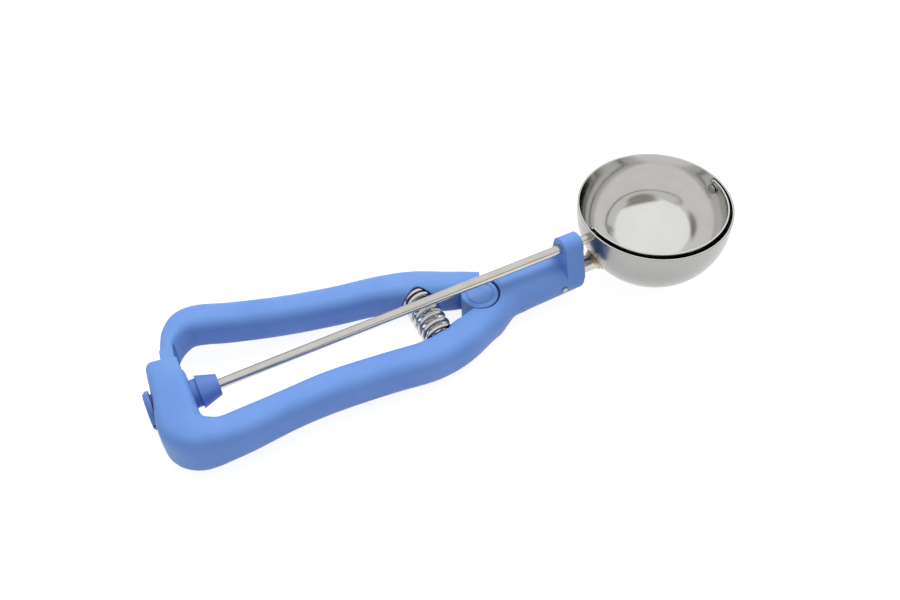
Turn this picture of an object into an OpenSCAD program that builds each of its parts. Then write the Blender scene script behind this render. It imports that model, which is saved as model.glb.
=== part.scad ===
// Lever ice cream scoop with a swinging wiper, worked by squeezing two handle arms.
//
// Every piece is drawn in the frame of the bowl: the rim lies in the plane z = 0 round the origin, the
// drive rod runs back along -X, and the squeezing lever is on the +Y side. laid_down() then lays the whole
// scoop on a table, on the foot of its handle and the bottom of its bowl.

/* [Bowl] */
// Outside diameter of the bowl
bowl_d = 57; // [50:1:64]
// Thickness of the bowl's sheet steel
bowl_wall = 0.6; // [0.5:0.1:1.2]
// Straight part of the bowl's wall, from the rim down to the round part
rim_h = 4; // [3:0.5:5]
// Diameter of the tube that carries the bowl
tube_d = 6.5; // [5:0.1:8]
// Wall of that tube
tube_wall = 0.9; // [0.6:0.1:1.5]
// Distance from the rod down to the tube
tube_drop = 14; // [13:0.5:16]
// Gap between the bowl and the front of the handle
barrel_gap = 4.5; // [3.5:0.1:7]
// Length of tube inside the handle
tube_grip = 30; // [20:1:34]
// Diameter of the pin through the handle and the tube
pin_d = 2; // [1.5:0.1:3]

/* [Wiper] */
// Width of the wiper's band
band_w = 9; // [6:0.5:11]
// Thickness of the band
band_t = 0.5; // [0.4:0.1:0.8]
// Gap between the band and the inside of the bowl
band_gap = 0.8; // [0.4:0.1:1.2]
// Diameter of the round ears at the band's ends
ear_d = 7.4; // [6:0.2:7.8]

/* [Drive] */
// Diameter of the drive rod
rod_d = 3.6; // [3:0.1:4.2]
// Tooth size of the pinion and the rack, as the gear module
gear_module = 0.9; // [0.85:0.01:0.95]
// Number of teeth on the pinion
pinion_teeth = 10; // [9:1:11]
// Number of rack teeth that would go once round the hinge
rack_turn_teeth = 251; // [244:1:258]
// Width of the pinion's teeth
tooth_w = 4; // [3:0.25:4.5]
// Share of a tooth space left as play between the teeth
backlash = 0.2; // [0.16:0.02:0.3]
// How far the lever swings when it is squeezed, in degrees
squeeze_angle = 6.9; // [5:0.1:6.9]

/* [Handle] */
// Distance from the bowl's centre to the lever's hinge
hinge_back = 74; // [68:1:90]
// Diameter of the round barrel that holds the tube
barrel_d = 16.4; // [15:0.2:18]
// Diameter of the lever's round knuckle in its socket
knuckle_d = 13.8; // [13:0.2:15.4]
// Height of the arms
arm_h = 14; // [13:0.5:15]
// Width of the arms in the middle of the grip
arm_w = 12.4; // [11:0.2:14]
// Distance from the rod's line out to the middle of the fixed arm
arm_reach = 16.8; // [16:0.2:20]
// Height of the sleeve's top over the rod
sleeve_top = 8.4; // [8:0.2:10]
// Length of the sleeve on the lever's side of the rod
sleeve_reach = 13; // [11:0.5:14]
// Diameter of the lug round the rod at the front of the barrel
lug_d = 8.8; // [8:0.2:10]
// Length of that lug along the rod
lug_l = 7.6; // [6:0.2:10]
// Angle between the rod and the table when the scoop lies down
rest_angle = 5.4; // [5:0.1:6]

/* [Spring] */
// Diameter of the spring's wire
wire_d = 1.8; // [1.4:0.1:2]
// Outside diameter of the spring
spring_d = 12; // [10:0.5:13]
// Number of turns
spring_turns = 7; // [4:1:8]

/* [Fits] */
// Gap round a shaft that turns in plastic
shaft_gap = 0.06; // [0.03:0.01:0.1]
// Gap round the knuckle in its socket
hinge_gap = 0.08; // [0.04:0.01:0.1]
// Gap round the rack bar in its sleeve
slide_gap = 0.3; // [0.2:0.05:0.4]

/* [Hidden] */

steel = [0.72, 0.71, 0.69];
polished = [0.82, 0.82, 0.82];
braze = [0.72, 0.66, 0.5];
blue = [0.42, 0.58, 0.86];

$fn = 96;

// Bowl and tube
bowl_r = bowl_d / 2;
inner_r = bowl_r - bowl_wall;
rod_z = -rim_h;
tube_z = rod_z - tube_drop;
tube_x = -sqrt(pow(bowl_r, 2) - pow(tube_drop, 2));
barrel_x = -bowl_r - barrel_gap;
barrel_r = barrel_d / 2;
tube_end_x = barrel_x - tube_grip;
pin_x = barrel_x - 9.4;

// How the scoop lies: the table touches the bowl's round part
lay_z = bowl_r + rim_h * cos(rest_angle);
function table_z(x) = -(lay_z + x * sin(rest_angle)) / cos(rest_angle);

// Wiper and its pivots
band_r = inner_r - band_gap;
rim_gap = 0.3;
band_tilt = asin((rim_h - rim_gap) / band_r) - asin(band_w / 2 / band_r);
rivet_d = 2.4;
rivet_head_d = 3.8;
rod_tip_d = 2.4;

// Rack and pinion
hinge_x = -hinge_back;
pitch_r = gear_module * pinion_teeth / 2;
rack_r = gear_module * rack_turn_teeth / 2;
tip_h = 0.75 * gear_module;
root_h = 1.05 * gear_module;
pinion_x = hinge_x - rack_r;
rack_angle = 360 / rack_turn_teeth;
pressure_angle = 20;
tooth_half = PI * gear_module * (1 - backlash) / 4;
squeeze_l = rack_r * squeeze_angle * PI / 180;

// Rack bar and sleeve, measured out from the hinge
rack_w = tooth_w - 0.4;
bar_in = rack_r - tooth_w / 2 - 0.3;
bar_out = rack_r + tooth_w / 2 + 0.3;
window_r = pitch_r + tip_h + 0.5;
window_far = squeeze_l + window_r;
bar_tip = -window_r - 2.2;
bar_root = 17.5;
cavity_in = bar_in - slide_gap;
cavity_out = bar_out + slide_gap;
cavity_half = arm_h / 2 + slide_gap;
cavity_end = bar_tip - squeeze_l - 0.8;
sleeve_in = cavity_in - 2.1;
sleeve_out = cavity_out + 6;
sleeve_w = sleeve_out - sleeve_in;
sleeve_s = (sleeve_in + sleeve_out) / 2;
sleeve_bottom = table_z(hinge_x - sleeve_in) - 0.3 - rod_z;
sleeve_mid_z = rod_z + (sleeve_top + sleeve_bottom) / 2;
sleeve_half = (sleeve_top - sleeve_bottom) / 2;
front_wall_y = window_far - squeeze_l + 0.35;
pad_h = 0.4;

// The pinion's round parts
tip_d = 2 * (pitch_r + tip_h);
neck_d = tip_d - 0.5;
journal_d = tip_d + 0.3;
head_d = journal_d + 3;
head_l = 2.1;
split_w = 1.2;
cone_big_d = neck_d + 1.9;
cone_small_d = rod_d + 3.8;
cone_l = 7;
cone_gap = 2.2;

// Arms. Both rise from the barrel's height at the hinge to the rod's height at the butt.
rise_l = 0.9 * rack_r;
half_h = arm_h / 2;
grip = arm_w / 2;
corner_r = sleeve_w / 2 + 6;
corner_s = sleeve_s - corner_r;
corner_y = -9.4;
function arm_z(s) = tube_z + tube_drop * min(max(s, 0), rise_l) / rise_l;

// One station of an arm: distance behind the hinge, y, half width, half height, squareness, height of middle
function station(s, y, w, h, e, z) = [hinge_x - s, y, z, w, h, e];

// Station of the butt's corner: an angle round it, and how much thicker it is there than the sleeve
function corner(a, more, h, e, up) =
    station(corner_s + (corner_r + more) * sin(a), corner_y - (corner_r + more) * cos(a), sleeve_w / 2 + more,
            h, e, sleeve_mid_z + up);

fixed_arm = [
    station(-barrel_r - 8, 0, barrel_r - 0.1, barrel_r - 0.1, 2, tube_z),
    station(-barrel_r, -0.4, barrel_r + 0.2, barrel_r - 0.2, 2.2, tube_z),
    station(3, -5, barrel_r + 1.5, half_h + 0.4, 2.8, tube_z),
    station(12, -12.2, grip + 0.9, half_h, 2.8, arm_z(12)),
    station(21, -15.6, grip + 0.5, half_h, 2.8, arm_z(21)),
    station(30, -arm_reach - 0.2, grip + 0.2, half_h, 2.8, arm_z(30)),
    station(44, -arm_reach + 0.2, grip, half_h, 2.8, arm_z(44)),
    station(64, -arm_reach, grip, half_h, 2.8, arm_z(64)),
    station(80, -arm_reach - 1.7, grip - 0.4, half_h, 2.9, arm_z(80)),
    station(corner_s - 6, corner_y - corner_r + 1, grip - 0.2, half_h + 0.3, 3.2, arm_z(95) + 0.2),
    corner(3, -0.8, half_h + 0.7, 3.2, 1),
    corner(24, -0.5, sleeve_half - 1.3, 3.3, 0.8),
    corner(46, 0.4, sleeve_half - 0.7, 3.5, 0.5),
    corner(68, 0.9, sleeve_half - 0.3, 4, 0.2),
    corner(90, 0.6, sleeve_half, 4.8, 0),
    station(sleeve_s, corner_y + 7, sleeve_w / 2 + 0.1, sleeve_half, 5.5, sleeve_mid_z),
    station(sleeve_s - 0.5, sleeve_reach - 3, sleeve_w / 2 - 0.4, sleeve_half, 5.5, sleeve_mid_z),
    station(sleeve_s - 0.6, sleeve_reach - 0.7, sleeve_w / 2 - 0.6, sleeve_half - 0.1, 5.5, sleeve_mid_z),
    station(sleeve_s - 0.7, sleeve_reach, sleeve_w / 2 - 1.3, sleeve_half - 0.8, 5.5, sleeve_mid_z),
];

lever_arm = [
    station(-8.2, 7.8, 2, half_h - 2, 2.2, tube_z - 0.4),
    station(-6.2, 8, 3.3, half_h - 0.8, 2.6, tube_z),
    station(0, 9.2, 5.2, half_h, 3, tube_z),
    station(9, 11.6, 6.6, half_h, 2.8, arm_z(9)),
    station(21, 16, 6.9, half_h, 2.8, arm_z(21)),
    station(34, 18.4, grip + 0.1, half_h, 2.8, arm_z(34)),
    station(50, 19.5, grip - 0.1, half_h, 2.8, arm_z(50)),
    station(69, 21.9, grip, half_h, 2.8, arm_z(69)),
    station(87, 25.6, grip + 0.1, half_h, 2.8, arm_z(87)),
    station(97, 28.4, grip + 0.2, half_h, 2.8, arm_z(97)),
    station(103, 28.4, grip - 0.2, half_h, 2.8, rod_z),
    station(107.6, 25.3, 4.4, half_h, 3.2, rod_z),
    station(110.7, 20.6, 2.7, half_h, 4, rod_z),
    station(111.6, 17, 2.4, half_h, 5, rod_z),
];

// Spring: its line, and the faces of the arms it stands between
spring_s = 20.4;
spring_x = hinge_x - spring_s;
spring_z = arm_z(spring_s);
spring_y0 = -10.2;
spring_y1 = 12.6;
spring_l = spring_y1 - spring_y0;
peg_d = spring_d - 2 * wire_d - 1;
peg_l = 4;
seat_d = spring_d + 0.6;

// Smooth curve through the stations
function curve(a, b, c, d, t) =
    0.5 * (2 * b + (c - a) * t + (2 * a - 5 * b + 4 * c - d) * t * t + (3 * b - a - 3 * c + d) * t * t * t);
function refine(list, steps) = [
    for (i = [0 : len(list) - 2], k = [0 : steps - 1])
        curve(list[max(i - 1, 0)], list[i], list[i + 1], list[min(i + 2, len(list) - 1)], k / steps),
    list[len(list) - 1],
];

// Ring of points round one station: a rounded rectangle that stands upright across the path
function bend(v, e) = sign(v) * pow(abs(v), 2 / e);
function heading(list, i) =
    let (d = list[min(i + 1, len(list) - 1)] - list[max(i - 1, 0)]) atan2(d[1], d[0]);
function ring(p, a, sides) = [
    for (k = [0 : sides - 1])
        let (t = 360 * k / sides, u = p[3] * bend(cos(t), p[5]))
            [p[0] - sin(a) * u, p[1] + cos(a) * u, p[2] + p[4] * bend(sin(t), p[5])]
];

// Solid that joins the rings
module skin(rings) {
    sides = len(rings[0]);
    count = len(rings);
    polyhedron(
        points = [for (r = rings, p = r) p],
        faces = concat(
            [[for (k = [0 : sides - 1]) k]],
            [for (i = [0 : count - 2], k = [0 : sides - 1])
                [i * sides + k, (i + 1) * sides + k, (i + 1) * sides + (k + 1) % sides]],
            [for (i = [0 : count - 2], k = [0 : sides - 1])
                [i * sides + k, (i + 1) * sides + (k + 1) % sides, i * sides + (k + 1) % sides]],
            [[for (k = [sides - 1 : -1 : 0]) (count - 1) * sides + k]]),
        convexity = 10);
}

module arm(stations, steps = 4, sides = 32) {
    path = refine(stations, steps);
    skin([for (i = [0 : len(path) - 1]) ring(path[i], heading(path, i), sides)]);
}

// The origin of the finished part: on the table, under the middle of the whole scoop
rear_x = hinge_x - sleeve_out - 0.3 - head_l;
front_x = bowl_r + 0.6;
middle_x = (front_x + rear_x) / 2 * cos(rest_angle) - rod_z * sin(rest_angle);
middle_y = 3.2;

module laid_down() {
    translate([-middle_x, -middle_y, lay_z]) rotate([0, -rest_angle, 0]) children();
}

// Cylinder along X from x0 to x1, on the rod's line unless z is given
module bar_x(x0, x1, d, z = rod_z) {
    translate([x0, 0, z]) rotate([0, 90, 0]) cylinder(d = d, h = x1 - x0);
}

// Part of a ring round the hinge: between two radii, from y0 to y1 behind the hinge, and from z0 to z1
module arc_block(r0, r1, y0, y1, z0, z1) {
    n = 16;
    function edge(r, k) = let (y = y0 + (y1 - y0) * k / n) [-sqrt(r * r - y * y), y];
    translate([hinge_x, 0, z0]) linear_extrude(z1 - z0)
        polygon(concat([for (k = [0 : n]) edge(r1, k)], [for (k = [n : -1 : 0]) edge(r0, k)]));
}

// Upright wedge round the hinge between two directions less than 180 degrees apart
module wedge(a0, a1, r, z0, z1) {
    reach = r / cos((a1 - a0) / 4);
    translate([hinge_x, 0, z0]) linear_extrude(z1 - z0)
        polygon([[0, 0], for (k = [0 : 2]) let (a = a0 + (a1 - a0) * k / 2) reach * [cos(a), sin(a)]]);
}

module bowl() color(polished) laid_down() difference() {
    translate([0, 0, rod_z]) rotate_extrude() {
        intersection() {
            difference() {
                circle(r = bowl_r);
                circle(r = inner_r);
            }
            translate([0, -bowl_r]) square(bowl_r);
        }
        translate([inner_r, 0]) square([bowl_wall, rim_h]);
    }
    bar_x(-bowl_r - 1, -inner_r + 2, rod_d + 2 * shaft_gap);
    bar_x(inner_r - 2, bowl_r + 1, rivet_d);
}

module bowl_tube() color(steel) laid_down() difference() {
    bar_x(tube_end_x, tube_x + 4, tube_d, tube_z);
    bar_x(tube_end_x - 1, tube_x + 5, tube_d - 2 * tube_wall, tube_z);
    translate([0, 0, rod_z]) sphere(r = bowl_r);
    tube_pin_hole();
}

module tube_pin_hole() {
    translate([pin_x, 0, tube_z]) rotate([90, 0, 0]) cylinder(d = pin_d, h = 3 * barrel_r, center = true);
}

// Braze round the tube where it meets the bowl: a thick fringe on the bowl and a thin one up the tube
module braze_fillet() color(braze) laid_down() difference() {
    for (fringe = [[0.5, 2.4], [1.3, 1.1]]) intersection() {
        translate([0, 0, rod_z]) sphere(r = bowl_r + fringe[0]);
        bar_x(tube_x - 6, tube_x + 6, tube_d + fringe[1], tube_z);
    }
    translate([0, 0, rod_z]) sphere(r = bowl_r);
    bar_x(tube_x - 8, tube_x + 8, tube_d, tube_z);
}

module tube_pin() color(steel) laid_down() intersection() {
    tube_pin_hole();
    bar_x(pin_x - 4, pin_x + 4, barrel_d, tube_z);
}

module wiper_rivet() color(steel) laid_down() {
    bar_x(band_r - band_t - 0.3, bowl_r + 0.2, rivet_d);
    bar_x(band_r - band_t - 0.9, band_r - band_t - 0.3, rivet_head_d);
    bar_x(bowl_r + 0.05, bowl_r + 0.6, rivet_head_d);
}

module wiper() color(polished) laid_down() difference() {
    intersection() {
        translate([0, 0, rod_z]) difference() {
            sphere(r = band_r);
            sphere(r = band_r - band_t);
        }
        union() {
            translate([0, 0, rod_z]) rotate([band_tilt, 0, 0])
                translate([-band_r, -band_r, -band_w / 2]) cube([2 * band_r, band_r, band_w]);
            bar_x(-band_r, band_r, ear_d);
        }
    }
    bar_x(-band_r - 1, -band_r + 5, rod_tip_d);
    bar_x(band_r - 5, band_r + 1, rivet_d + 2 * shaft_gap);
}

module drive_rod() color(steel) laid_down() {
    bar_x(pinion_x - tooth_w / 2, -band_r - 0.1, rod_d);
    bar_x(-band_r - 0.2, -band_r + band_t + 0.2, rod_tip_d);
    bar_x(-band_r + band_t + 0.1, -band_r + band_t + 0.8, rod_tip_d + 1.4);
}

// Outline of the pinion, with a tooth pointing along +X
function involute(a) = tan(a) - a * PI / 180;
base_r = pitch_r * cos(pressure_angle);
function tooth_angle(r) =
    (tooth_half / pitch_r + involute(pressure_angle) - involute(acos(min(1, base_r / r)))) * 180 / PI;
module pinion_outline() {
    root_r = pitch_r - root_h;
    radii = [root_r - 0.3, base_r, base_r + 0.15, pitch_r, pitch_r + tip_h / 2, pitch_r + tip_h];
    circle(r = root_r);
    for (k = [0 : pinion_teeth - 1]) rotate(k * 360 / pinion_teeth)
        polygon(concat(
            [for (r = radii) r * [cos(tooth_angle(max(r, base_r))), -sin(tooth_angle(max(r, base_r)))]],
            [for (i = [len(radii) - 1 : -1 : 0]) let (r = radii[i])
                r * [cos(tooth_angle(max(r, base_r))), sin(tooth_angle(max(r, base_r)))]]));
}

module pinion() color(blue) laid_down() difference() {
    face_x = hinge_x - sleeve_in;
    back_x = hinge_x - sleeve_out - 0.3;
    teeth_x0 = pinion_x - tooth_w / 2;
    teeth_x1 = pinion_x + tooth_w / 2;
    union() {
        translate([teeth_x0, 0, rod_z]) rotate([0, -90, 180]) linear_extrude(tooth_w) pinion_outline();
        bar_x(back_x, teeth_x0, journal_d);
        translate([back_x, 0, rod_z]) rotate([0, -90, 0]) {
            cylinder(d = head_d, h = head_l / 2);
            translate([0, 0, head_l / 2]) cylinder(d1 = head_d, d2 = head_d - 1.6, h = head_l / 2);
        }
        bar_x(teeth_x1, face_x + cone_gap, neck_d);
        translate([face_x + cone_gap, 0, rod_z]) rotate([0, 90, 0])
            cylinder(d1 = cone_big_d, d2 = cone_small_d, h = cone_l);
    }
    bar_x(teeth_x0, face_x + cone_gap + cone_l + 1, rod_d);
    // Split that lets the head spring through its bearing
    translate([back_x - head_l - 1, -head_d, rod_z - split_w / 2])
        cube([teeth_x0 - 0.6 - back_x + head_l + 1, 2 * head_d, split_w]);
}

module rack_teeth() {
    pitch_z = rod_z + pitch_r;
    slope = tan(pressure_angle);
    last = floor((window_far - 1) / (PI * gear_module) - 0.5);
    for (k = [-2 : last]) translate([hinge_x, 0, 0]) rotate([0, 0, 180 - (k + 0.5) * rack_angle])
        translate([rack_r - rack_w / 2, 0, pitch_z]) rotate([90, 0, 90]) linear_extrude(rack_w)
            polygon([[-tooth_half + slope * tip_h, -tip_h], [tooth_half - slope * tip_h, -tip_h],
                     [tooth_half + slope * (root_h + 0.4), root_h + 0.4],
                     [-tooth_half - slope * (root_h + 0.4), root_h + 0.4]]);
}

// Knuckle of the lever, with a bevelled top, and the ring and dish moulded into it
knuckle_top = half_h + 0.2;
knuckle_low = half_h - 0.5;
module knuckle() {
    r = knuckle_d / 2;
    top = knuckle_top;
    translate([hinge_x, 0, tube_z]) rotate_extrude()
        polygon([[0, -knuckle_low], [r, -knuckle_low], [r, top - 0.4], [r - 0.4, top], [0.76 * r, top],
                 [0.76 * r, top - 0.2], [0.66 * r, top - 0.2], [0.66 * r, top], [0.46 * r, top],
                 [0.36 * r, top - 0.2], [0, top - 0.2]]);
}

// Directions round the hinge between which the lever is drawn
lever_from = 62;
lever_to = 182;

// Throat that lets the lever into the handle's socket, open from the nose's side round to the fixed arm
module throat() {
    far = 3 * barrel_r;
    lip = 0.78 * knuckle_d / 2;
    edge_y = -arm_reach / 2;
    translate([hinge_x, 0, tube_z - 20]) linear_extrude(40)
        polygon([[0, 0], far * [cos(lever_from - 0.5), sin(lever_from - 0.5)], [-far, far], [-far, edge_y],
                 [-far + 5, edge_y], [-1.6 * knuckle_d / 2, -1.06 * knuckle_d / 2], [-lip, -lip]]);
}

module lever() color(blue) laid_down() {
    difference() {
        union() {
            intersection() {
                arm(lever_arm);
                union() {
                    wedge(lever_from + 1, lever_to, 3 * barrel_d, tube_z - 30, rod_z + 30);
                    translate([hinge_x - 2 * rack_r, -rack_r, tube_z - 30])
                        cube([2 * rack_r - 2 * barrel_r, 2 * rack_r, 60]);
                }
            }
            knuckle();
            spring_peg(spring_y1, 1);
            arc_block(bar_in, bar_out, bar_tip, bar_root, rod_z - half_h, rod_z + half_h);
        }
        arc_block(bar_in - 6, bar_out + 6, -window_r, window_far, rod_z - window_r, rod_z + pitch_r + root_h);
        spring_pocket(spring_y1, 1);
    }
    rack_teeth();
}

module main_handle() color(blue) laid_down() difference() {
    union() {
        barrel();
        arm(fixed_arm);
        lug();
        spring_peg(spring_y0, -1);
    }
    spring_pocket(spring_y0, -1);
    // Socket and throat of the hinge
    translate([hinge_x, 0, tube_z - 20]) cylinder(d = knuckle_d + 2 * hinge_gap, h = 40);
    translate([hinge_x, 0, tube_z + half_h - 1.6]) cylinder(d = knuckle_d + 1.2, h = 20);
    throat();
    // Bores for the rod, the tube and the pin
    bar_x(barrel_x - lug_l - 1, barrel_x + 1, rod_d + 2 * shaft_gap);
    bar_x(tube_end_x - 1, barrel_x + 1, tube_d, tube_z);
    tube_pin_hole();
    // Space for the rack bar, and the pinion's bearings
    arc_block(cavity_in, cavity_out, cavity_end, sleeve_reach + 4, rod_z - cavity_half, rod_z + cavity_half);
    arc_block(sleeve_in - 4, cavity_out, front_wall_y, sleeve_reach + 4, rod_z - cavity_half,
              rod_z + cavity_half);
    bar_x(hinge_x - cavity_in - 1, hinge_x - sleeve_in + 4, neck_d + 2 * shaft_gap);
    bar_x(hinge_x - sleeve_out - 4, hinge_x - cavity_out + 1, journal_d + 2 * shaft_gap);
    bar_x(hinge_x - sleeve_out - 6, hinge_x - sleeve_out, head_d + 1.2);
    // Flat foot
    below_table(0, -3 * rack_r, rack_r);
    below_table(0.3, -hinge_back - 60, rack_r);
}

// Everything lower than a height over the table, from x0 to x1 along the table
module below_table(over, x0, x1) {
    rotate([0, rest_angle, 0]) translate([x0, -rack_r, over - lay_z - 50])
        cube([x1 - x0, 2 * rack_r, 50]);
}

// Barrel round the tube: a taper with a rounded front edge, drawn as one revolved outline
module barrel() {
    front_r = barrel_r - 0.9;
    edge = 1.6;
    translate([barrel_x, 0, tube_z]) rotate([0, -90, 0]) rotate_extrude()
        polygon(concat(
            [[0, 0]],
            [for (k = [0 : 6]) [front_r - edge + edge * sin(15 * k), edge - edge * cos(15 * k)]],
            [[barrel_r, barrel_x - hinge_x - barrel_r], [0, barrel_x - hinge_x - barrel_r]]));
}

// Peg inside an end of the spring, on the arm at y, whose side of the spring is -1 or 1
module spring_peg(y, side) {
    translate([spring_x, y + (side < 0 ? -2 : -peg_l), spring_z]) rotate([-90, 0, 0])
        cylinder(d = peg_d, h = peg_l + 2);
}

// Room for that end of the spring, cut into the arm round the peg
module spring_pocket(y, side) {
    translate([spring_x, y + (side < 0 ? 0 : -10), spring_z]) rotate([-90, 0, 0])
        difference() {
            cylinder(d = seat_d, h = 10);
            translate([0, 0, side < 0 ? -1 : 10 - peg_l]) cylinder(d = peg_d, h = peg_l + 1);
        }
}

// Lug round the rod, with flanks that run down to the barrel at a tangent to both
module lug() {
    low_r = barrel_r - 0.9;
    lean = asin((low_r - lug_d / 2) / tube_drop);
    bar_x(barrel_x - lug_l, barrel_x - 0.4, lug_d);
    bar_x(barrel_x - 1, barrel_x, lug_d - 0.8);
    translate([barrel_x - lug_l, 0, 0]) rotate([90, 0, 90]) linear_extrude(lug_l - 0.4)
        polygon([for (side = [1, -1], top = side > 0 ? [1, 0] : [0, 1])
            let (r = top > 0 ? lug_d / 2 : low_r, z = top > 0 ? rod_z : tube_z)
                [side * r * cos(lean), z + r * sin(lean)]]);
}

// Height along the coil after t turns: the end turns are wound close
function coil_rise(t) =
    let (close = 1.05 * wire_d, lead = spring_l - wire_d, n = spring_turns)
    t < 1 ? t * close : t > n - 1 ? lead - (n - t) * close : close + (t - 1) * (lead - 2 * close) / (n - 2);

// Spring between the arms, a coil along Y
module return_spring() color(steel) laid_down() {
    mean_r = (spring_d - wire_d) / 2;
    per_turn = 24;
    translate([spring_x, spring_y0 + wire_d / 2, spring_z]) rotate([-90, 0, 0])
        skin([
            for (i = [0 : spring_turns * per_turn]) let (a = 360 * i / per_turn, y = coil_rise(i / per_turn))
                [for (k = [0 : 9]) let (r = mean_r + wire_d / 2 * cos(36 * k))
                    [r * cos(a), r * sin(a), y + wire_d / 2 * sin(36 * k)]]
        ]);
}

bowl();
bowl_tube();
braze_fillet();
tube_pin();
wiper_rivet();
main_handle();
lever();
return_spring();
drive_rod();
pinion();
wiper();
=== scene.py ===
import math

import bmesh
import bpy
from mathutils import Matrix, Vector


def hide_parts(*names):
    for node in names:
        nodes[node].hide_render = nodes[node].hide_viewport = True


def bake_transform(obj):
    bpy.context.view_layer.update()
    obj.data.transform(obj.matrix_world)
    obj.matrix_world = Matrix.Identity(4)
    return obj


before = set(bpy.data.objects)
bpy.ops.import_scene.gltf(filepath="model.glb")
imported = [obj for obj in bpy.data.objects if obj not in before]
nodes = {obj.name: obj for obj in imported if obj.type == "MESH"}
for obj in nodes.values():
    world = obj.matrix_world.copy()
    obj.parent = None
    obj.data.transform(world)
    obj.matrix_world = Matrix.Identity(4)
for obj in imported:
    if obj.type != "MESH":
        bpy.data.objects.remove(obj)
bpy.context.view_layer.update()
scene = bpy.context.scene

# ---------------------------------------------------------------- frame of the bowl
MM = 0.001
REST = math.radians(5.4)    # how far the bowl's frame is tilted when the scoop lies on a table
LAID = Matrix.Rotation(-REST, 4, "Y")
LAID.translation = Vector((0.083674, -0.0032, 0.032482))    # the middle of the bowl's rim


def laid(x, y, z):
    """A point of the bowl's frame, given in millimetres, in the frame of the part."""
    return LAID @ Vector((x / 1000, y / 1000, z / 1000))


BOWL = laid(0, 0, -4)       # the centre of its round part
BOWL_SKIN = 28.2 * MM       # between the inner and the outer radius of its wall


# ---------------------------------------------------------------- node helpers
class Nodes:
    """Short calls that make and link the nodes of a material or a world."""

    def __init__(self, owner):
        owner.use_nodes = True
        self.tree = owner.node_tree
        self.tree.nodes.clear()

    def new(self, kind, **props):
        n = self.tree.nodes.new(kind)
        for k, v in props.items():
            setattr(n, k, v)
        return n

    def feed(self, value, socket):
        """Links a socket to another one, or sets it to a number or colour."""
        if isinstance(value, bpy.types.NodeSocket):
            self.tree.links.new(value, socket)
        else:
            socket.default_value = value

    def math(self, op, a, b):
        n = self.new("ShaderNodeMath", operation=op)
        self.feed(a, n.inputs[0])
        self.feed(b, n.inputs[1])
        return n.outputs[0]

    def length(self, a, b):
        return self.math("POWER", self.math("ADD", self.math("POWER", a, 2.0), self.math("POWER", b, 2.0)), 0.5)

    def span(self, value, lo, hi, out_lo, out_hi, **props):
        n = self.new("ShaderNodeMapRange", **props)
        for k, v in zip(("Value", "From Min", "From Max", "To Min", "To Max"), (value, lo, hi, out_lo, out_hi)):
            self.feed(v, n.inputs[k])
        return n.outputs["Result"]

    def mix(self, factor, a, b, **props):
        """A colour between a, at factor 0, and b, at factor 1."""
        n = self.new("ShaderNodeMix", data_type="RGBA", **props)
        for i, v in zip((0, 6, 7), (factor, a, b)):
            self.feed(v, n.inputs[i])
        return n.outputs[2]

    def split(self, vector):
        n = self.new("ShaderNodeSeparateXYZ")
        self.feed(vector, n.inputs[0])
        return n.outputs

    def shader(self, kind, **values):
        n = self.new(kind)
        for k, v in values.items():
            self.feed(v, n.inputs[k.replace("_", " ")])
        return n.outputs[0]

    def blend(self, kind, *inputs):
        """Joins shaders by a Mix Shader, with its factor first, or by an Add Shader."""
        n = self.new(kind)
        for v, socket in zip(inputs, n.inputs):
            self.feed(v, socket)
        return n.outputs[0]

    def finish(self, kind, shader):
        self.feed(shader, self.new(kind).inputs[0])

    def sees_white(self):
        """1 for rays from the camera, off mirrors and through glass, and 0 for the rest."""
        rays = self.new("ShaderNodeLightPath").outputs
        either = self.math("MAXIMUM", rays["Is Camera Ray"], rays["Is Glossy Ray"])
        return self.math("MAXIMUM", either, rays["Is Transmission Ray"])


def colour(rgb, by=1.0):
    return (*(min(1, c * by) for c in rgb), 1)


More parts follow.
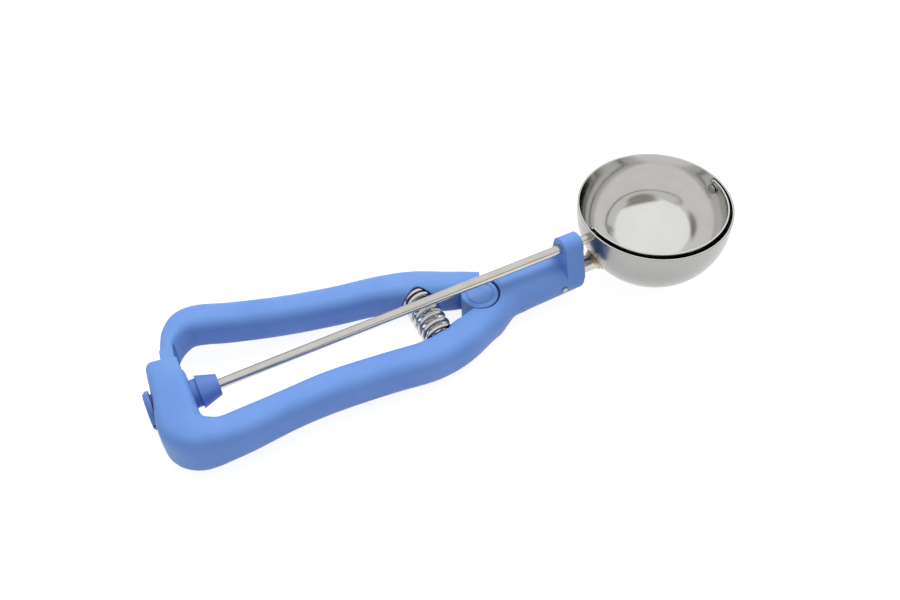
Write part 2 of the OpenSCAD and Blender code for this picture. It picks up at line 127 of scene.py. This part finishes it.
class Finish(Nodes):
    """A procedural material for the object."""

    def __init__(self, name):
        self.mat = bpy.data.materials.new(name)
        super().__init__(self.mat)

    def coords(self, centre, tilt=0.0, scale=(1, 1, 1)):
        """Object coordinates about a centre, turned into the bowl's frame, then stretched."""
        turned = self.new("ShaderNodeMapping", vector_type="POINT")
        turned.inputs["Location"].default_value = -(Matrix.Rotation(tilt, 3, "Y") @ Vector(centre))
        turned.inputs["Rotation"].default_value = (0, tilt, 0)
        self.feed(self.new("ShaderNodeTexCoord").outputs["Object"], turned.inputs["Vector"])
        stretched = self.new("ShaderNodeMapping", vector_type="POINT")
        stretched.inputs["Scale"].default_value = scale
        self.feed(turned.outputs[0], stretched.inputs["Vector"])
        return stretched.outputs[0]

    def noise(self, vector, scale, detail, rough, distortion=0.0):
        n = self.new("ShaderNodeTexNoise")
        for k, v in zip(("Vector", "Scale", "Detail", "Roughness", "Distortion"),
                        (vector, scale, detail, rough, distortion)):
            self.feed(v, n.inputs[k])
        return n.outputs["Fac"]

    def ramp(self, value, stops):
        n = self.new("ShaderNodeValToRGB")
        els = n.color_ramp.elements
        while len(els) < len(stops):
            els.new(0.5)
        for e, (pos, rgb) in zip(els, stops):
            e.position = pos
            e.color = colour(rgb)
        self.feed(value, n.inputs["Fac"])
        return n.outputs["Color"]

    def bump(self, height, strength, distance, normal=None):
        n = self.new("ShaderNodeBump")
        n.inputs["Strength"].default_value = strength
        n.inputs["Distance"].default_value = distance
        self.feed(height, n.inputs["Height"])
        if normal is not None:
            self.feed(normal, n.inputs["Normal"])
        return n.outputs["Normal"]

    def rounded(self, radius):
        n = self.new("ShaderNodeBevel", samples=6)
        n.inputs["Radius"].default_value = radius
        return n.outputs["Normal"]

    def painted_gap_shade(self, base, lo, hi, shade):
        """Painted shade: darkens a colour where the surface sits deep in a gap."""
        n = self.new("ShaderNodeAmbientOcclusion", samples=8)
        n.inputs["Distance"].default_value = 3 * MM
        return self.mix(self.span(n.outputs["AO"], lo, hi, 1.0, 0.0), base, colour(shade), blend_type="MULTIPLY")

    def close(self, **values):
        self.finish("ShaderNodeOutputMaterial", self.shader("ShaderNodeBsdfPrincipled", **values))
        return self.mat


# ---------------------------------------------------------------- materials
def plastic(name, base, pale, deep, seed):
    """Matte moulded plastic: fine grain, faint flow marks, rubbed edges, and painted shade deep in gaps."""
    t = Finish(name)
    at = t.coords((seed, 0, 0))
    grain = t.noise(at, 2600, 3, 0.6)
    cloud = t.noise(at, 38, 4, 0.6, 0.4)
    edge = t.rounded(0.6 * MM)
    dot = t.new("ShaderNodeVectorMath", operation="DOT_PRODUCT")
    t.feed(edge, dot.inputs[0])
    t.feed(t.new("ShaderNodeNewGeometry").outputs["Normal"], dot.inputs[1])
    rub = t.span(dot.outputs["Value"], 0.97, 0.72, 0.0, 1.0)
    flow = t.ramp(cloud, [(0.3, deep), (0.55, base), (0.8, pale)])
    rubbed = t.mix(t.math("MULTIPLY", rub, 0.35), flow, colour(pale))
    # the base colour carries painted shade, darker where the plastic sits deep in a gap
    return t.close(Base_Color=t.painted_gap_shade(rubbed, 0.08, 0.5, (0.12, 0.13, 0.25)),
                   Roughness=t.span(cloud, 0.25, 0.8, 0.56, 0.48), Specular_IOR_Level=0.6,
                   Normal=t.bump(grain, 0.16, 0.06 * MM, edge))


def spun_steel(name, tint, lo, hi, rings, strength, outside=None):
    """Polished sheet steel with fine rings left by spinning, faint smears and hairlines.

    With a tint for the outside, the outer face of the bowl is satin and darker: the rougher finish is its own,
    while the darker tint is painted shade for the darker surroundings that it mirrors.
    """
    t = Finish(name)
    at = t.coords(BOWL, REST)
    x, y, z = t.split(at)
    flat = t.length(x, y)
    join = t.new("ShaderNodeCombineXYZ")
    t.feed(t.math("MULTIPLY", t.math("ARCTAN2", z, flat), 60.0), join.inputs[0])
    t.feed(t.math("ARCTAN2", y, x), join.inputs[1])
    ring = t.noise(join.outputs[0], rings, 4, 0.65)
    smear = t.noise(at, 70, 3, 0.5, 0.6)
    hair = t.noise(t.coords(BOWL, REST, (1, 9, 3)), 900, 2, 0.6)
    rough = t.math("ADD", t.span(smear, 0.3, 0.75, lo, hi), t.span(hair, 0.62, 0.8, 0.0, 0.05))
    base = t.ramp(smear, [(0.3, tint), (0.75, colour(tint, 1.07)[:3])])
    # outside the wall the bowl gets the darker outside tint, which is painted shade, and a rougher satin finish
    if outside:
        reach = t.length(flat, t.math("MINIMUM", z, 0.0))
        skin = t.span(reach, BOWL_SKIN - 0.1 * MM, BOWL_SKIN + 0.1 * MM, 0.0, 1.0)
        base = t.mix(skin, base, t.ramp(ring, [(0.3, colour(outside, 0.9)[:3]), (0.7, outside)]))
        rough = t.math("ADD", rough, t.math("MULTIPLY", skin, 0.14))
    return t.close(Base_Color=base, Metallic=1.0, Roughness=rough, Anisotropic=0.35,
                   Normal=t.bump(ring, strength, 0.03 * MM))


def drawn_steel(name, tint, along, lo, hi, strength=0.25, deep=0.5, shade=(0.2, 0.18, 0.15)):
    """Drawn or ground steel, with lines along one direction of the bowl's frame, and painted shade deep in gaps.
    """
    t = Finish(name)
    lines = t.noise(t.coords(BOWL, REST, along), 1500, 4, 0.6)
    spots = t.noise(t.coords(BOWL, REST), 160, 3, 0.6)
    base = t.ramp(spots, [(0.3, colour(tint, 0.9)[:3]), (0.7, tint)])
    # the base colour carries painted shade, darker where the steel sits deep in a gap
    return t.close(Base_Color=t.painted_gap_shade(base, 0.1, deep, shade), Metallic=1.0,
                   Roughness=t.span(spots, 0.3, 0.75, lo, hi),
                   Normal=t.bump(lines, strength, 0.04 * MM, t.rounded(0.25 * MM)))


def braze_metal():
    t = Finish("braze_metal")
    at = t.coords(BOWL, REST)
    lump = t.noise(at, 700, 4, 0.6, 0.5)
    heat = t.noise(at, 260, 3, 0.5)
    tan, straw, silver = (0.36, 0.27, 0.14), (0.58, 0.51, 0.36), (0.68, 0.65, 0.58)
    return t.close(Base_Color=t.ramp(heat, [(0.3, tan), (0.5, straw), (0.75, silver)]), Metallic=1.0,
                   Roughness=t.span(lump, 0.3, 0.7, 0.22, 0.45), Normal=t.bump(lump, 0.5, 0.2 * MM))


BLUE, PALE, DEEP = (0.142, 0.298, 0.73), (0.168, 0.33, 0.755), (0.124, 0.27, 0.7)
# the second tint, for the outside of the bowl, is darker than the first as painted shade for the darker
# surroundings that the outside mirrors
POLISHED, SATIN_AND_SHADE = (0.7, 0.695, 0.68), (0.41, 0.405, 0.395)
ALONG_ROD, ALONG_TUBE, ANY_WAY = (0.03, 1, 1), (1, 0.05, 0.05), (1, 1, 1)
handle_blue = plastic("handle_blue", BLUE, PALE, DEEP, 0.0)
lever_blue = plastic("lever_blue", BLUE, PALE, DEEP, 0.37)
pinion_blue = plastic("pinion_blue", (0.105, 0.215, 0.6), BLUE, (0.09, 0.19, 0.55), 0.71)
bowl_steel = spun_steel("bowl_steel", POLISHED, 0.08, 0.14, 1.6, 0.05, SATIN_AND_SHADE)
wiper_steel = spun_steel("wiper_steel", (0.66, 0.655, 0.64), 0.08, 0.15, 2.2, 0.08)
rod_steel = drawn_steel("rod_steel", (0.63, 0.605, 0.56), ALONG_ROD, 0.16, 0.24, 0.12)
tube_steel = drawn_steel("tube_steel", (0.66, 0.64, 0.6), ALONG_TUBE, 0.16, 0.28)
pin_steel = drawn_steel("pin_steel", (0.5, 0.5, 0.48), ANY_WAY, 0.28, 0.42)
# on the spring's wire the painted shade between the coils is strong and near black, standing in for dark
# reflections
wire_steel = drawn_steel("wire_steel", (0.66, 0.655, 0.64), ANY_WAY, 0.1, 0.17, 0.03, 0.85, (0.06, 0.06, 0.07))


# ---------------------------------------------------------------- CAD nodes: finish and smooth shading
WELD = 0.004 * MM
SHARP = math.radians(28)


def smoothing():
    """Welds the corners of a mesh and shades it smooth, apart from its sharp edges."""
    g = bpy.data.node_groups.new("weld_and_smooth", "GeometryNodeTree")
    g.interface.new_socket("Geometry", in_out="INPUT", socket_type="NodeSocketGeometry")
    g.interface.new_socket("Geometry", in_out="OUTPUT", socket_type="NodeSocketGeometry")
    start, weld, face, edge, end = [g.nodes.new(kind) for kind in (
        "NodeGroupInput", "GeometryNodeMergeByDistance", "GeometryNodeSetShadeSmooth",
        "GeometryNodeSetShadeSmooth", "NodeGroupOutput")]
    for a, b in ((start, weld), (weld, face), (face, edge), (edge, end)):
        g.links.new(a.outputs[0], b.inputs[0])
    weld.inputs["Distance"].default_value = WELD
    sharp = g.nodes.new("FunctionNodeCompare")
    sharp.data_type, sharp.operation = "FLOAT", "GREATER_THAN"
    g.links.new(g.nodes.new("GeometryNodeInputMeshEdgeAngle").outputs["Unsigned Angle"], sharp.inputs[0])
    sharp.inputs[1].default_value = SHARP
    edge.domain = "EDGE"
    g.links.new(sharp.outputs[0], edge.inputs["Selection"])
    edge.inputs["Shade Smooth"].default_value = False
    return g


SMOOTH = smoothing()
for name, material in [("bowl", bowl_steel), ("bowl_tube", tube_steel), ("braze_fillet", braze_metal()),
                       ("tube_pin", pin_steel), ("wiper_rivet", pin_steel), ("main_handle", handle_blue),
                       ("lever", lever_blue), ("return_spring", wire_steel), ("drive_rod", rod_steel),
                       ("pinion", pinion_blue), ("wiper", wiper_steel)]:
    nodes[name].data.materials.clear()
    nodes[name].data.materials.append(material)
    nodes[name].modifiers.new("smooth", "NODES").node_group = SMOOTH


# ---------------------------------------------------------------- spring
def coil(name, start, length, mean_r, wire_r, turns, material):
    """A compression spring along +Y with closed end turns, as a swept round wire. Sizes are in millimetres."""
    per_turn, sides = 56, 14
    count = turns * per_turn
    closed = 1.05 * 2 * wire_r      # rise of an end turn, which all but touches the next one
    lead = length - 2 * wire_r

    def rise(t):
        if t < 1:
            return t * closed
        if t > turns - 1:
            return lead - (turns - t) * closed
        return closed + (t - 1) * (lead - 2 * closed) / (turns - 2)

    path = []
    for i in range(count + 1):
        a = math.tau * i / per_turn
        path.append(Vector((mean_r * math.cos(a), rise(i / per_turn) + wire_r, -mean_r * math.sin(a))))
    bm = bmesh.new()
    rings = []
    for i, p in enumerate(path):
        ahead = (path[min(i + 1, count)] - path[max(i - 1, 0)]).normalized()
        out = Vector((p.x, 0, p.z)).normalized()
        side = ahead.cross(out).normalized()
        out = side.cross(ahead).normalized()
        r = wire_r if 0 < i < count else wire_r * 0.8       # the edge of each end is broken
        rings.append([bm.verts.new(p + (out * math.cos(b) + side * math.sin(b)) * r)
                      for b in (math.tau * n / sides for n in range(sides))])
    for a, b in zip(rings, rings[1:]):
        for n in range(sides):
            bm.faces.new((a[n], a[(n + 1) % sides], b[(n + 1) % sides], b[n])).smooth = True
    bm.faces.new(rings[0])
    bm.faces.new(list(reversed(rings[-1])))
    bmesh.ops.recalc_face_normals(bm, faces=bm.faces)
    me = bpy.data.meshes.new(name)
    bm.to_mesh(me)
    bm.free()
    me.materials.append(material)
    me.transform(Matrix.Translation(Vector(start) * MM) @ Matrix.Scale(MM, 4))
    me.transform(LAID)
    o = bpy.data.objects.new(name, me)
    scene.collection.objects.link(o)
    return o


# millimetres in the bowl's frame: the lever's hinge, and the spring between its two seats
HINGE_X, SPRING_BACK = -74, 20.4
SPRING_X, SPRING_Z = HINGE_X - SPRING_BACK, -15.19
SPRING_Y0, SPRING_Y1 = -10.2, 12.6
SPRING_R, WIRE_R, TURNS = 5.1, 0.9, 7
spring = coil("return_spring_wire", (SPRING_X, SPRING_Y0, SPRING_Z), SPRING_Y1 - SPRING_Y0,
              SPRING_R, WIRE_R, TURNS, wire_steel)
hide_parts("return_spring")
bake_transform(spring)


# ---------------------------------------------------------------- stage
WHITE = (1, 1, 1, 1)


def plane(name, centre, u, v, material):
    """A flat rectangle, from its centre and its two half sides, in metres."""
    c, u, v = Vector(centre), Vector(u), Vector(v)
    me = bpy.data.meshes.new(name)
    me.from_pydata([c - u - v, c + u - v, c + u + v, c - u + v], [], [(0, 1, 2, 3)])
    me.materials.append(material)
    o = bpy.data.objects.new(name, me)
    scene.collection.objects.link(o)
    return o


def floor_material():
    """White to the camera, mirrors and glass, with the object's shadow, and a plain pale floor to other rays."""
    m = bpy.data.materials.new("floor_white")
    t = Nodes(m)
    glow = t.shader("ShaderNodeEmission", Color=WHITE, Strength=0.88)
    soft = t.shader("ShaderNodeBsdfDiffuse", Color=(0.3, 0.3, 0.3, 1))
    bounce = t.shader("ShaderNodeBsdfDiffuse", Color=(0.65, 0.68, 0.8, 1))
    seen = t.blend("ShaderNodeAddShader", glow, soft)
    t.finish("ShaderNodeOutputMaterial", t.blend("ShaderNodeMixShader", t.sees_white(), bounce, seen))
    return m


def flag_material(name, grey):
    """Grey in the middle of an upright card along X, fading to the white background at its edges."""
    m = bpy.data.materials.new(name)
    t = Nodes(m)
    x, _, z = t.split(t.new("ShaderNodeTexCoord").outputs["Generated"])
    fades = [t.span(t.math("MULTIPLY", v, t.math("SUBTRACT", 1.0, v)), 0.0, 0.2, 0.0, 1.0,
                    interpolation_type="SMOOTHSTEP") for v in (x, z)]
    tone = t.mix(t.math("MULTIPLY", *fades), WHITE, colour(grey))
    t.finish("ShaderNodeOutputMaterial", t.shader("ShaderNodeEmission", Color=tone))
    return m


plane("floor", (0, 0, 0), (4, 0, 0), (0, 4, 0), floor_material())
# soft grey cards behind and in front that only mirror rays see, for contrast on the rod and spring:
# name, centre, half width, half height, colour
for name, centre, across, tall, grey in [
        ("flag_north", (0, 0.9, 0.17), (0.95, 0, 0), (0, 0, 0.16), (0.45, 0.42, 0.38)),
        ("flag_south", (0, -0.9, 0.4), (1.1, 0, 0), (0, 0, 0.2), (0.3, 0.28, 0.25))]:
    flag = plane(name, centre, across, tall, flag_material(name + "_grey", grey))
    flag.visible_camera = flag.visible_diffuse = flag.visible_shadow = flag.visible_transmission = False

world = bpy.data.worlds.new("studio")
scene.world = world
w = Nodes(world)
east, north, height = w.split(w.new("ShaderNodeTexCoord").outputs["Generated"])
# what lights the plastic: a soft dome, brighter overhead and behind, darker towards the front left
level = w.math("ADD", w.span(height, 0.0, 0.9, 0.46, 0.64), w.span(north, -1.0, 1.0, -0.02, 0.06))
level = w.math("ADD", level, w.span(east, -1.0, 1.0, -0.05, 0.05))
dome = w.shader("ShaderNodeBackground", Color=(0.95, 0.98, 1, 1), Strength=level)
white = w.shader("ShaderNodeBackground", Color=WHITE, Strength=1.0)
w.finish("ShaderNodeOutputWorld", w.blend("ShaderNodeMixShader", w.sees_white(), dome, white))

lamp = bpy.data.lights.new("key_top", "AREA")
lamp.shape = "RECTANGLE"
lamp.size, lamp.size_y = 0.9, 0.7
lamp.energy = 8.3
lamp.color = (1, 0.985, 0.9)
key = bpy.data.objects.new("key_top", lamp)
scene.collection.objects.link(key)
key.location = (0.22, 0.42, 0.95)
key.rotation_mode = "QUATERNION"
key.rotation_quaternion = (-key.location).to_track_quat("-Z", "Y")      # aimed at the origin
key.visible_glossy = False

# ---------------------------------------------------------------- camera
IMAGE_WIDTH = 900       # pixels of the photo's frame, which both shifts are given in
cam_data = bpy.data.cameras.new("camera")
cam = bpy.data.objects.new("camera", cam_data)
scene.collection.objects.link(cam)
right, up, back = (0.917936, -0.396728, -0.000622), (0.269984, 0.623529, 0.733703), (-0.290693, -0.67366, 0.67947)
place = Matrix((right, up, back)).transposed().to_4x4()
place.translation = Vector((-0.122443, -0.216907, 0.284441))
cam.matrix_world = place
cam_data.sensor_width = 36
cam_data.lens = 40
cam_data.shift_x, cam_data.shift_y = 73.9 / IMAGE_WIDTH, -84.8 / IMAGE_WIDTH
cam_data.clip_start, cam_data.clip_end = 0.01, 20
scene.camera = cam
scene.view_settings.view_transform = "Standard"

bpy.context.view_layer.update()
